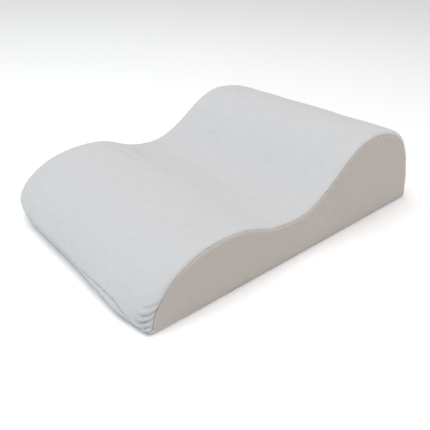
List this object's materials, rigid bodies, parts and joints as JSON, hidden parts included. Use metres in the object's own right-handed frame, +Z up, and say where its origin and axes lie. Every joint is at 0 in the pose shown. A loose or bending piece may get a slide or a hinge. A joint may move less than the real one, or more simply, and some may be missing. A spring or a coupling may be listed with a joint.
{
  "type": "contoured cervical pillow",
  "caption": "Wave-shaped foam neck pillow with a low and a high lobe, a knit liner and a sewn pile-knit cover closed by a sliding zip at the high end.",
  "frame": {"origin": "on the resting surface, at the middle of the pillow's length and width", "axes": "+Z up, +Y along the pillow from the low lobe to the high lobe, X along the ridges, with the closed zip's slider at +X"},
  "size_m": [0.305, 0.5, 0.126],
  "materials": {
    "cover_pile": "short brushed pile knit, matt, cool white",
    "end_pile": "the same pile knit, warm off-white",
    "liner_knit": "thin plain knit, matt",
    "foam": "moulded open-cell foam, matt, cream",
    "thread": "twisted polyester thread, slight sheen",
    "zip_tape": "woven herringbone tape, matt",
    "zip_coil": "moulded nylon, satin",
    "zip_metal": "nickel-plated die casting, satin",
    "label_satin": "blank woven satin ribbon"
  },
  "bodies": {
    "pillow": {"foam_core": "foam", "liner_sleeve": "liner_knit", "liner_left_end": "liner_knit", "liner_right_end": "liner_knit", "cover_top_panel": "cover_pile", "cover_base_panel": "cover_pile", "cover_left_panel": "end_pile", "cover_right_panel": "end_pile", "left_overlock_seam": "thread", "right_overlock_seam": "thread", "front_overlock_seam": "thread", "zip_upper_tape": "zip_tape", "zip_lower_tape": "zip_tape", "zip_upper_coil": "zip_coil", "zip_lower_coil": "zip_coil", "zip_top_stops": "zip_metal", "zip_bottom_stop": "zip_metal", "zip_upper_stitching": "thread", "zip_lower_stitching": "thread", "zip_bartacks": "thread", "care_label": "label_satin"},
    "slider": {"zip_slider": "zip_metal"},
    "pull": {"zip_pull": "zip_metal"}
  },
  "joints": [
    {"name": "zip_slider_travel", "type": "slide", "parent": "pillow", "child": "slider", "axis": [-1, 0, 0], "range_m": [0, 0.235], "deforming": ["zip_upper_coil", "zip_lower_coil"]},
    {"name": "zip_pull_flip", "type": "hinge", "parent": "slider", "child": "pull", "pos_m": [0.11615, 0.24749, 0.0221], "axis": [0, 0.2588, -0.9659], "range_deg": [0, 170]}
  ]
}
